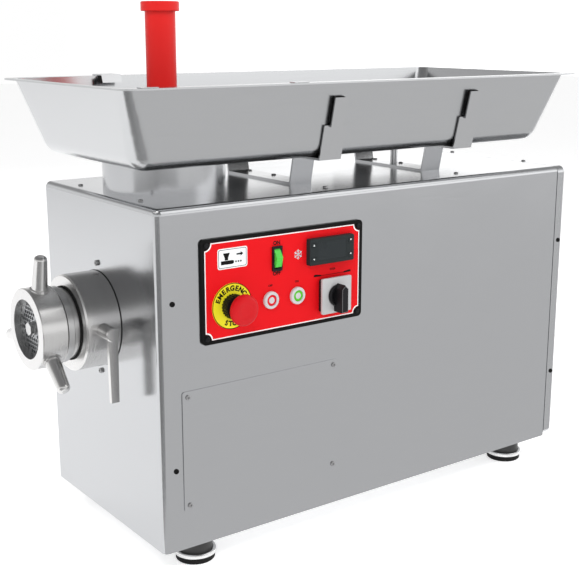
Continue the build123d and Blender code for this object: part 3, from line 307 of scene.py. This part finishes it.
def rounded(profile, radius, steps=4):
    """Round the inner corners of an open profile; returns more (along, radius) points."""
    points = [profile[0]]
    for before, corner, after in zip(profile, profile[1:], profile[2:]):
        corner_at, into, out = Vector(corner), Vector(before), Vector(after)
        reach = min(radius, (into - corner_at).length / 2.2, (out - corner_at).length / 2.2)
        start = corner_at + (into - corner_at).normalized() * reach
        end = corner_at + (out - corner_at).normalized() * reach
        for step in range(steps + 1):
            t = step / steps
            point = start * (1 - t) ** 2 + corner_at * 2 * t * (1 - t) + end * t ** 2
            points.append(tuple(point))
    points.append(profile[-1])
    return points


def slab(build, outline, front, depth):
    """Extrude an (x, z) outline from its front face along +Y."""
    near = [build.verts.new((x, front, z)) for x, z in outline]
    far = [build.verts.new((x, front + depth, z)) for x, z in outline]
    build.faces.new(near)
    build.faces.new(list(reversed(far)))
    for index in range(len(outline)):
        after = (index + 1) % len(outline)
        build.faces.new((near[index], far[index], far[after], near[after]))


def ribbon(build, outer, inner, front, depth):
    """Closed band between two (x, z) outlines with the same number of points."""
    loops = []
    for outline, y in ((outer, front), (inner, front), (inner, front + depth), (outer, front + depth)):
        loops.append([build.verts.new((x, y, z)) for x, z in outline])
    for first, second in zip(loops, loops[1:] + loops[:1]):
        for index in range(len(first)):
            after = (index + 1) % len(first)
            build.faces.new((first[index], first[after], second[after], second[index]))


def arc(x, z, radius, start, end, steps):
    """Points on an arc, angles in degrees from +X towards +Z."""
    turns = [radians(start + (end - start) * step / steps) for step in range(steps + 1)]
    return [(x + radius * cos(turn), z + radius * sin(turn)) for turn in turns]


def rounded_box(x, z, half_x, half_z, radius, steps=6):
    """Outline of a rectangle with round corners."""
    points = []
    for corner_x, corner_z, start in ((1, 1, 0), (-1, 1, 90), (-1, -1, 180), (1, -1, 270)):
        middle_x, middle_z = x + corner_x * (half_x - radius), z + corner_z * (half_z - radius)
        points += arc(middle_x, middle_z, radius, start, start + 90, steps)
    return points


def letters(build, text, x, z, front, height, turn=0.0, weight=0.0):
    """Add one line of lettering, centred on (x, z) and facing -Y, turned in its plane."""
    curve = bpy.data.curves.new("lettering", "FONT")
    curve.body = text
    curve.size = height / 0.7
    curve.extrude = PRINT / 2
    curve.offset = weight
    curve.align_x, curve.align_y = "CENTER", "CENTER"
    holder = bpy.data.objects.new("lettering", curve)
    bpy.context.scene.collection.objects.link(holder)
    bpy.context.view_layer.update()
    flat = bpy.data.meshes.new_from_object(holder.evaluated_get(bpy.context.evaluated_depsgraph_get()))
    flat.transform(Matrix.Translation((x, front, z)) @ Matrix.Rotation(turn, 4, "Y")
                   @ Matrix.Rotation(pi / 2, 4, "X"))
    build.from_mesh(flat)
    bpy.data.meshes.remove(flat)
    bpy.data.objects.remove(holder)
    bpy.data.curves.remove(curve)


# ---- control panel ------------------------------------------------------------------------
PRINT_FRONT = PANEL_FRONT - PRINT / 2


def hollow_corner_outline(inset, notch):
    """Outline of the overlay, inset, with a hollow quarter circle at each corner."""
    corner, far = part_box("panel_overlay")
    x0, x1, z0, z1 = corner.x + inset, far.x - inset, corner.z + inset, far.z - inset
    points = []
    for x, z, start in ((x0, z0, 90), (x1, z0, 180), (x1, z1, 270), (x0, z1, 0)):
        points += arc(x, z, notch, start, start - 90, 8)
    return points


def make_overlay_print():
    outline = bmesh.new()
    ribbon(outline, hollow_corner_outline(0.2 * MM, 9.0 * MM), hollow_corner_outline(1.5 * MM, 9.0 * MM),
           PRINT_FRONT, PRINT)
    add_piece("overlay_outline", outline, "print_white", "cabinet")

    rocker, stop = centre("rocker_bezel"), centre("cam_switch_plate")
    words = bmesh.new()
    letters(words, "ON", rocker.x, rocker.z + 20.0 * MM, PRINT_FRONT, 4.8 * MM, weight=0.26 * MM)
    letters(words, "OFF", rocker.x, rocker.z - 19.6 * MM, PRINT_FRONT, 4.8 * MM, weight=0.26 * MM)
    letters(words, "STOP", stop.x, stop.z + 33.5 * MM, PRINT_FRONT, 2.6 * MM, weight=0.12 * MM)
    for name, text in (("off_bezel", "OFF"), ("on_bezel", "ON")):
        button = centre(name)
        letters(words, text, button.x, button.z + 18.6 * MM, PRINT_FRONT, 2.6 * MM, weight=0.10 * MM)
    top, half_length, half_line = stop.z + 27.0 * MM, 24 * MM, 0.25 * MM
    slab(words, [(stop.x - half_length, top - half_line), (stop.x + half_length, top - half_line),
                 (stop.x + half_length, top + half_line), (stop.x - half_length, top + half_line)],
         PRINT_FRONT, PRINT)
    for side in (-1, 1):
        outer, inner = stop.x + side * 31.0 * MM, stop.x + side * 19.0 * MM
        slab(words, [(outer, top - 0.6 * MM), (inner, top - 0.9 * MM), (inner, top + 0.9 * MM),
                     (outer - side * 2.5 * MM, top + 2.4 * MM), (outer, top + 1.6 * MM)], PRINT_FRONT, PRINT)
    add_piece("overlay_lettering", words, "print_black", "cabinet")


def make_snowflake():
    """Cooling symbol: six barbed arms round a small hub."""
    case, rocker = low("thermostat_case"), centre("rocker_bezel")
    x, z, arm, half = case.x - 13.5 * MM, rocker.z + 1.0 * MM, 6.6 * MM, 0.42 * MM
    flake = bmesh.new()

    def bar(start, end):
        along = (Vector(end) - Vector(start)).normalized() * half
        across = Vector((-along.y, along.x))
        corners = [Vector(start) - across, Vector(end) - across, Vector(end) + across, Vector(start) + across]
        slab(flake, [tuple(c) for c in corners], PRINT_FRONT, PRINT)

    for index in range(6):
        turn = radians(60 * index + 30)
        out = Vector((cos(turn), sin(turn)))
        bar((x, z), (x + out.x * arm, z + out.y * arm))
        knee = Vector((x, z)) + out * arm * 0.58
        for side in (-1, 1):
            barb = Vector((cos(turn + side * radians(52)), sin(turn + side * radians(52))))
            bar(tuple(knee), tuple(knee + barb * arm * 0.36))
    add_piece("snowflake_symbol", flake, "print_cyan", "cabinet")


def make_pictogram():
    """Plain plate with a funnel, an arrow and three drops: meat goes in, mince comes out."""
    overlay = low("panel_overlay")
    x, z = overlay.x + 41.0 * MM, centre("rocker_bezel").z + 9.0 * MM
    plate = bmesh.new()
    slab(plate, rounded_box(x, z, 22.0 * MM, 13.0 * MM, 3.0 * MM), PRINT_FRONT, PRINT)
    add_piece("pictogram_plate", plate, "print_white", "cabinet")
    sign = bmesh.new()
    front = PRINT_FRONT - PRINT

    def shape(points):
        slab(sign, [(x + px * MM, z + pz * MM) for px, pz in points], front, PRINT)

    ribbon(sign, rounded_box(x, z, 20.6 * MM, 11.6 * MM, 2.2 * MM),
           rounded_box(x, z, 20.0 * MM, 11.0 * MM, 1.8 * MM), front, PRINT)
    shape([(-14, 7), (-4, 7), (-6.5, 1), (-6.5, -2), (-11.5, -2), (-11.5, 1)])
    shape([(-17, -2.6), (0, -2.6), (2, -3.6), (2, -6.4), (0, -7.4), (-17, -7.4)])
    for index in range(3):
        drop = arc(x + (5.0 + 3.6 * index) * MM, z - 5.0 * MM, 1.2 * MM, 0, 330, 11)
        slab(sign, drop, front, PRINT)
    shape([(6, 5.2), (12, 5.2), (12, 7), (16, 4.2), (12, 1.4), (12, 3.2), (6, 3.2)])
    add_piece("pictogram", sign, "print_black", "cabinet")


def make_estop_print():
    """Generic lettering round the yellow disc, and its dark edge line."""
    label = centre("estop_label")
    front, radius = low("estop_label").y - PRINT / 2, 22.6 * MM
    words = bmesh.new()

    def around(text, middle, step, upright):
        for index, letter in enumerate(text):
            turn = radians(middle + (index - (len(text) - 1) / 2) * step)
            x, z = label.x + radius * sin(turn), label.z + radius * cos(turn)
            letters(words, letter, x, z, front, 6.2 * MM, turn if upright else turn + pi, weight=0.40 * MM)

    around("EMERGENCY", 0.0, 17.0, True)
    around("STOP", 180.0, -16.0, False)
    add_piece("estop_lettering", words, "print_black", "cabinet")
    edge = bmesh.new()
    outer = (high("estop_label").x - low("estop_label").x) / 2
    ribbon(edge, arc(label.x, label.z, outer, 0, 357, 119),
           arc(label.x, label.z, outer - 1.0 * MM, 0, 357, 119), front, PRINT)
    add_piece("estop_label_edge", edge, "print_black", "cabinet")


def make_estop_head():
    """Mushroom head: dished face inside a soft shoulder, grip side and hub."""
    corner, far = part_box("estop_head")
    middle, radius = centre("estop_head"), (far.x - corner.x) / 2
    rim_back = 9.5 * MM
    profile = [(0.9 * MM, 0.05 * MM), (0.7 * MM, radius * 0.35), (0.2 * MM, radius * 0.50),
               (0.0, radius * 0.62), (0.5 * MM, radius * 0.80), (2.2 * MM, radius * 0.94),
               (4.4 * MM, radius), (7.6 * MM, radius), (rim_back, radius * 0.93), (rim_back, 13.0 * MM),
               (far.y - corner.y, 13.0 * MM), (far.y - corner.y, 6.1 * MM), (10.0 * MM, 6.1 * MM),
               (10.0 * MM, 0.05 * MM)]
    head = bmesh.new()
    lathe(head, rounded(profile, 1.2 * MM), (middle.x, corner.y, middle.z), (0, 1, 0), 120)
    piece = add_piece("estop_mushroom", head, "stop_red", "estop_head")
    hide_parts("estop_head")


def make_button_centres():
    """Light lens in the middle of each push button."""
    for name in ("off_button", "on_button"):
        corner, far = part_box(name)
        middle, radius = centre(name), (far.x - corner.x) / 2
        lens = bmesh.new()
        profile = [(-0.5 * MM, 0.05 * MM), (-0.4 * MM, radius * 0.42), (0.0, radius * 0.58),
                   (0.4 * MM, radius * 0.58), (0.4 * MM, 0.05 * MM)]
        lathe(lens, rounded(profile, 0.3 * MM), (middle.x, corner.y, middle.z), (0, 1, 0), 48)
        add_piece(f"{name}_lens", lens, "cap_light", name)


def make_thermostat_marks():
    """Small light marks on the four keys: two arrows and two dots."""
    for number in range(1, 5):
        key = centre(f"thermostat_key_{number}")
        front = low(f"thermostat_key_{number}").y - PRINT / 2
        size, lift = 1.2 * MM, (1.4 * MM if number > 2 else 0.0)
        mark = bmesh.new()
        if number % 2:
            outline = [(-size, -size), (size, -size), (0, size)]
        else:
            outline = [(-size, size), (0, -size), (size, size)]
        if number > 2:
            turns = [radians(72 * point + 18) for point in range(5)]
            outline = [(size * cos(turn), size * sin(turn)) for turn in turns]
        slab(mark, [(key.x + x, key.z + lift + z) for x, z in outline], front, PRINT)
        add_piece(f"thermostat_mark_{number}", mark, "print_white", f"thermostat_key_{number}")


def make_cam_handle():
    """Rotary grip: a dished round base, and a bar with a pointed top and light grey bands along its edges as
    painted highlight.
    """
    corner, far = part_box("cam_switch_handle")
    middle = centre("cam_switch_plate")
    front, seat = corner.y, low("cam_switch_plate").y - 0.3 * MM
    base = bmesh.new()
    profile = [(-2.2 * MM, 0.05 * MM), (-2.2 * MM, 9.0 * MM), (-4.6 * MM, 11.5 * MM), (-4.6 * MM, 13.6 * MM),
               (-3.2 * MM, 14.6 * MM), (0.0, 14.6 * MM), (0.0, 3.0 * MM), (far.y - seat, 3.0 * MM),
               (far.y - seat, 0.05 * MM)]
    lathe(base, rounded(profile, 0.6 * MM), (middle.x, seat, middle.z), (0, 1, 0), 96)
    half, top, bottom, edge = 5.6 * MM, far.z - 0.2 * MM, corner.z, 0.9 * MM
    shoulder = top - 5.5 * MM

    def outline(inset):
        return [(middle.x - half + inset, bottom + inset), (middle.x + half - inset, bottom + inset),
                (middle.x + half - inset, shoulder - inset * 0.3), (middle.x, top - inset * 1.4),
                (middle.x - half + inset, shoulder - inset * 0.3)]

    loops = []
    for inset, y in ((edge, front), (0.0, front + edge), (0.0, seat - 1.0 * MM)):
        loops.append([base.verts.new((x, y, z)) for x, z in outline(inset)])
    base.faces.new(loops[0])
    base.faces.new(loops[-1])
    for first, second in zip(loops, loops[1:]):
        for index in range(len(first)):
            after = (index + 1) % len(first)
            base.faces.new((first[index], first[after], second[after], second[index]))
    piece = add_piece("cam_grip", base, "black_plastic", "cam_switch_handle")
    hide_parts("cam_switch_handle")
    # Light grey band inside the bar's edges: a painted highlight of the bevels.
    highlight_band = bmesh.new()
    ribbon(highlight_band, outline(edge * 0.75), outline(edge * 1.35), front - 0.02 * MM, 0.3 * MM)
    add_piece("cam_grip_highlight", highlight_band, "highlight_grey", "cam_switch_handle")


# ---- head, tray and cabinet details -------------------------------------------------------
def make_ring(name, start, depth, inner, outer):
    """Square-section ring with one bevelled edge, on the head's axis, riding on the cabinet."""
    axis = centre("head_collar")
    build = bmesh.new()
    bevel = depth * 0.3
    profile = [(0.0, inner), (0.0, outer - bevel), (bevel, outer), (depth, outer), (depth, inner)]
    lathe(build, profile, (start, axis.y, axis.z), (1, 0, 0), 120)
    add_piece(name, build, "foot_rubber", "cabinet")


def make_shade_rings():
    """Black rings as painted shade: one in the joint behind the collar, and two in the grooves of the head.
    """
    collar_front, collar_back = low("head_collar").x, high("head_collar").x
    collar_radius = (high("head_collar").z - low("head_collar").z) / 2
    barrel_radius, thread_radius = 46.0 * MM, 48.9 * MM
    # Each ring is black rubber put where the joint and the grooves are only in shade: painted shade.
    make_ring("collar_joint_shade", collar_back - 0.9 * MM, 0.8 * MM, collar_radius + 0.05 * MM,
              collar_radius + 0.5 * MM)
    make_ring("collar_groove_shade", collar_front - 1.7 * MM, 1.6 * MM, barrel_radius + 0.1 * MM,
              barrel_radius + 2.6 * MM)
    make_ring("flange_groove_shade", high("ring_nut").x + 0.3 * MM, 1.0 * MM, thread_radius + 0.05 * MM,
              thread_radius + 1.3 * MM)


def prism_x(build, profile, x0, x1):
    """Extrude a (y, z) outline between two x positions."""
    ends = [[build.verts.new((x, y, z)) for y, z in profile] for x in (x0, x1)]
    build.faces.new(ends[0])
    build.faces.new(list(reversed(ends[1])))
    for index in range(len(profile)):
        after = (index + 1) % len(profile)
        build.faces.new((ends[0][index], ends[1][index], ends[1][after], ends[0][after]))


def make_bracket_gap_shades():
    """Black rubber strips in the gaps between the tray's walls and the tongues of the bracket arms, as
    painted shade of those gaps.
    """

    def wall(z, side):
        inward = TRAY_FLANGE + WALL_SLOPE * (TRAY_RIM - z)
        return low("tray").y + inward if side < 0 else high("tray").y - inward

    near, far, length, proud = 0.4 * MM, 2.2 * MM, 33.0 * MM, 0.6 * MM
    for number in (1, 2):
        node = f"tray_bracket_{number}"
        middle, top = centre(node).x, high(node).z
        bottom = top - length
        for side, label in ((-1, "near"), (1, "far")):
            foot, head = wall(bottom, side), wall(top, side)
            profile = [(foot + side * near, bottom), (head + side * near, top + proud),
                       (head + side * far, top + proud), (foot + side * far, bottom)]
            # Black strip standing in for the shaded gap behind the tongue: painted shade.
            gap_shade = bmesh.new()
            prism_x(gap_shade, profile, middle - 7.0 * MM, middle + 9.4 * MM)
            add_piece(f"bracket_{number}_pad_{label}", gap_shade, "foot_rubber", "cabinet")


def make_rim_hooks():
    """Folded steel hook over the tray's far rim with a black strip in its slot as painted shade, and two
    small flat clips on the near rim.
    """
    near, far, end = low("tray").y, high("tray").y, low("tray").x

    def strip(build, edge, points, start, length):
        """Sheet section given in millimetres from an edge (y) and from the rim (z)."""
        profile = [(edge + y * MM, TRAY_RIM + z * MM) for y, z in points]
        prism_x(build, profile, start, start + length)

    hook, slot_shade = bmesh.new(), bmesh.new()
    start = end + 135.0 * MM
    strip(hook, far, [(-2, 0.1), (-2, 2.4), (-30, 2.4), (-34, -9), (-32.5, -9), (-28.5, 0.9), (-17, 0.9),
                      (-17, 0.1)], start, 30 * MM)
    add_piece("rim_hook_far", hook, "bracket_steel", "tray")
    # Black strip in the slot under the hook: painted shade.
    strip(slot_shade, far, [(-30.6, 0.6), (-34.3, -9.2), (-32.9, -9.2), (-29.2, 0.6)], start - 4.5 * MM, 4.4 * MM)
    add_piece("rim_hook_slot_shade", slot_shade, "foot_rubber", "tray")
    for number, along in ((1, 24.0), (2, 236.0)):
        clip = bmesh.new()
        strip(clip, near, [(3, 0.1), (3, 1.2), (14, 1.2), (14, 0.1)], end + along * MM, 22 * MM)
        add_piece(f"rim_clip_{number}", clip, "bracket_steel", "tray")


def make_corner_bead():
    """Polished weld bead at the cabinet's near top corner."""
    corner = low("cabinet")
    bead = bmesh.new()
    bmesh.ops.create_uvsphere(bead, u_segments=32, v_segments=16, radius=1.0)
    bmesh.ops.scale(bead, vec=(3.2 * MM, 1.6 * MM, 1.6 * MM), verts=bead.verts)
    place = Vector((corner.x + 2.6 * MM, corner.y + 2.5 * MM, high("rear_cover").z - 2.5 * MM))
    bmesh.ops.translate(bead, vec=place, verts=bead.verts)
    add_piece("corner_bead", bead, "bright_bead", "cabinet")


# ---- lights, floor and camera -------------------------------------------------------------
def make_world():
    """Pale studio: bright at the horizon, more so behind the rear end, and greyer overhead."""
    world = bpy.data.worlds.new("studio")
    bpy.context.scene.world = world
    world.use_nodes = True
    tree = world.node_tree
    place = tree.nodes.new("ShaderNodeTexCoord")
    split = tree.nodes.new("ShaderNodeSeparateXYZ")
    ramp = tree.nodes.new("ShaderNodeValToRGB")
    tree.links.new(place.outputs["Generated"], split.inputs["Vector"])
    tree.links.new(split.outputs["Z"], ramp.inputs["Fac"])
    stops = ramp.color_ramp.elements
    stops[0].position, stops[0].color = 0.0, (1.0, 1.0, 1.0, 1)
    stops[1].position, stops[1].color = 1.0, (0.20, 0.20, 0.205, 1)
    for position, level in ((0.26, 1.0), (0.40, 0.40), (0.60, 0.25)):
        stop = stops.new(position)
        stop.color = (level, level, level, 1)
    tree.links.new(ramp.outputs["Color"], tree.nodes["Background"].inputs["Color"])
    strength = spread(tree, split.outputs["X"], 1.0, 1.6, 0.42, 0.64)
    tree.links.new(strength, tree.nodes["Background"].inputs["Strength"])


def make_card(name, points, level):
    """Flat studio card that only reflections see."""
    build = bmesh.new()
    build.faces.new([build.verts.new(p) for p in points])
    mesh = bpy.data.meshes.new(name)
    build.to_mesh(mesh)
    build.free()
    card = bpy.data.objects.new(name, mesh)
    bpy.context.scene.collection.objects.link(card)
    material, tree, shader = new_material(name)
    shader.inputs["Base Color"].default_value = (0, 0, 0, 1)
    shader.inputs["Specular IOR Level"].default_value = 0.0
    shader.inputs["Emission Color"].default_value = (level, level, level, 1)
    shader.inputs["Emission Strength"].default_value = 1.0
    mesh.materials.append(material)
    card.visible_camera = False
    card.visible_diffuse = False
    card.visible_shadow = False


def make_floor_cards():
    """What the object mirrors of the floor: grey before its side, darker before the head."""
    outer_y, z = -4.0, 0.004
    for name, x0, x1, inner_y, level in (("grey_card", -0.7, 5.0, -0.165, 0.74),
                                         ("dark_card", -0.42, -4.0, -0.16, 0.30)):
        make_card(name, [(x0, inner_y, z), (x0, outer_y, z), (x1, outer_y, z), (x1, inner_y, z)], level)


def make_tray_shade():
    """Dark card just under the tray, so that the cabinet's top mirrors a shaded underside."""
    corner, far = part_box("tray")
    end_inset, side_inset, z = 70 * MM, 62 * MM, corner.z - 0.4 * MM
    x0, x1, y0, y1 = corner.x + end_inset, far.x - end_inset, corner.y + side_inset, far.y - side_inset
    make_card("tray_shade", [(x0, y0, z), (x1, y0, z), (x1, y1, z), (x0, y1, z)], 0.05)


def make_floor():
    mesh = bpy.data.meshes.new("floor")
    build = bmesh.new()
    bmesh.ops.create_grid(build, x_segments=8, y_segments=8, size=12.0)
    build.to_mesh(mesh)
    build.free()
    floor = bpy.data.objects.new("floor", mesh)
    bpy.context.scene.collection.objects.link(floor)
    material, tree, shader = new_material("pale_floor")
    tree.links.new(shade(tree, noise(tree, 1.5), (0.90, 0.90, 0.90), 0.01), shader.inputs["Base Color"])
    shader.inputs["Roughness"].default_value = 0.9
    shader.inputs["Emission Color"].default_value = (1, 1, 1, 1)
    shader.inputs["Emission Strength"].default_value = 0.58
    mesh.materials.append(material)


def make_area_light(name, place, target, size, power, glossy):
    light = bpy.data.lights.new(name, "AREA")
    light.shape = "RECTANGLE"
    light.size, light.size_y = size
    light.energy = power
    holder = bpy.data.objects.new(name, light)
    bpy.context.scene.collection.objects.link(holder)
    holder.location = place
    holder.rotation_euler = (Vector(target) - Vector(place)).to_track_quat("-Z", "Y").to_euler()
    holder.visible_glossy = glossy


def make_lights():
    middle = (0.0, 0.0, 0.3)
    make_area_light("key", (-1.6, -1.6, 2.6), middle, (1.6, 1.2), 42.0, False)
    make_area_light("fill", (2.2, -1.2, 2.2), middle, (2.0, 2.0), 26.0, False)
    make_area_light("back", (0.6, 2.4, 2.2), middle, (2.4, 1.2), 26.0, False)


def make_camera():
    """Long lens from the head end and the control side, a little above the object."""
    yaw, pitch, sensor = radians(36.14), radians(13.18), 36.0
    focal_length, frame_width = 1085.4, 579  # both in pixels of the frame
    camera = bpy.data.cameras.new("camera")
    camera.sensor_width = sensor
    camera.lens = sensor * (focal_length / frame_width)
    holder = bpy.data.objects.new("camera", camera)
    bpy.context.scene.collection.objects.link(holder)
    holder.location = (-0.9322, -1.2516, 0.6791)
    holder.rotation_euler = (pi / 2 - pitch, 0, -yaw)
    bpy.context.scene.camera = holder


# ---- make everything ----------------------------------------------------------------------
bpy.context.scene.view_settings.view_transform = "Standard"
make_camera()
make_world()
make_floor()
make_floor_cards()
make_tray_shade()
make_card("soft_card", [(0.8, -2.2, 1.5), (2.2, -1.4, 1.5), (1.9, -0.8, 2.9), (0.5, -1.6, 2.9)], 1.6)
make_lights()
finish_cad_nodes()
make_overlay_print()
make_snowflake()
make_pictogram()
make_estop_print()
make_estop_head()
make_button_centres()
make_thermostat_marks()
make_cam_handle()
make_shade_rings()
make_bracket_gap_shades()
make_rim_hooks()
make_corner_bead()
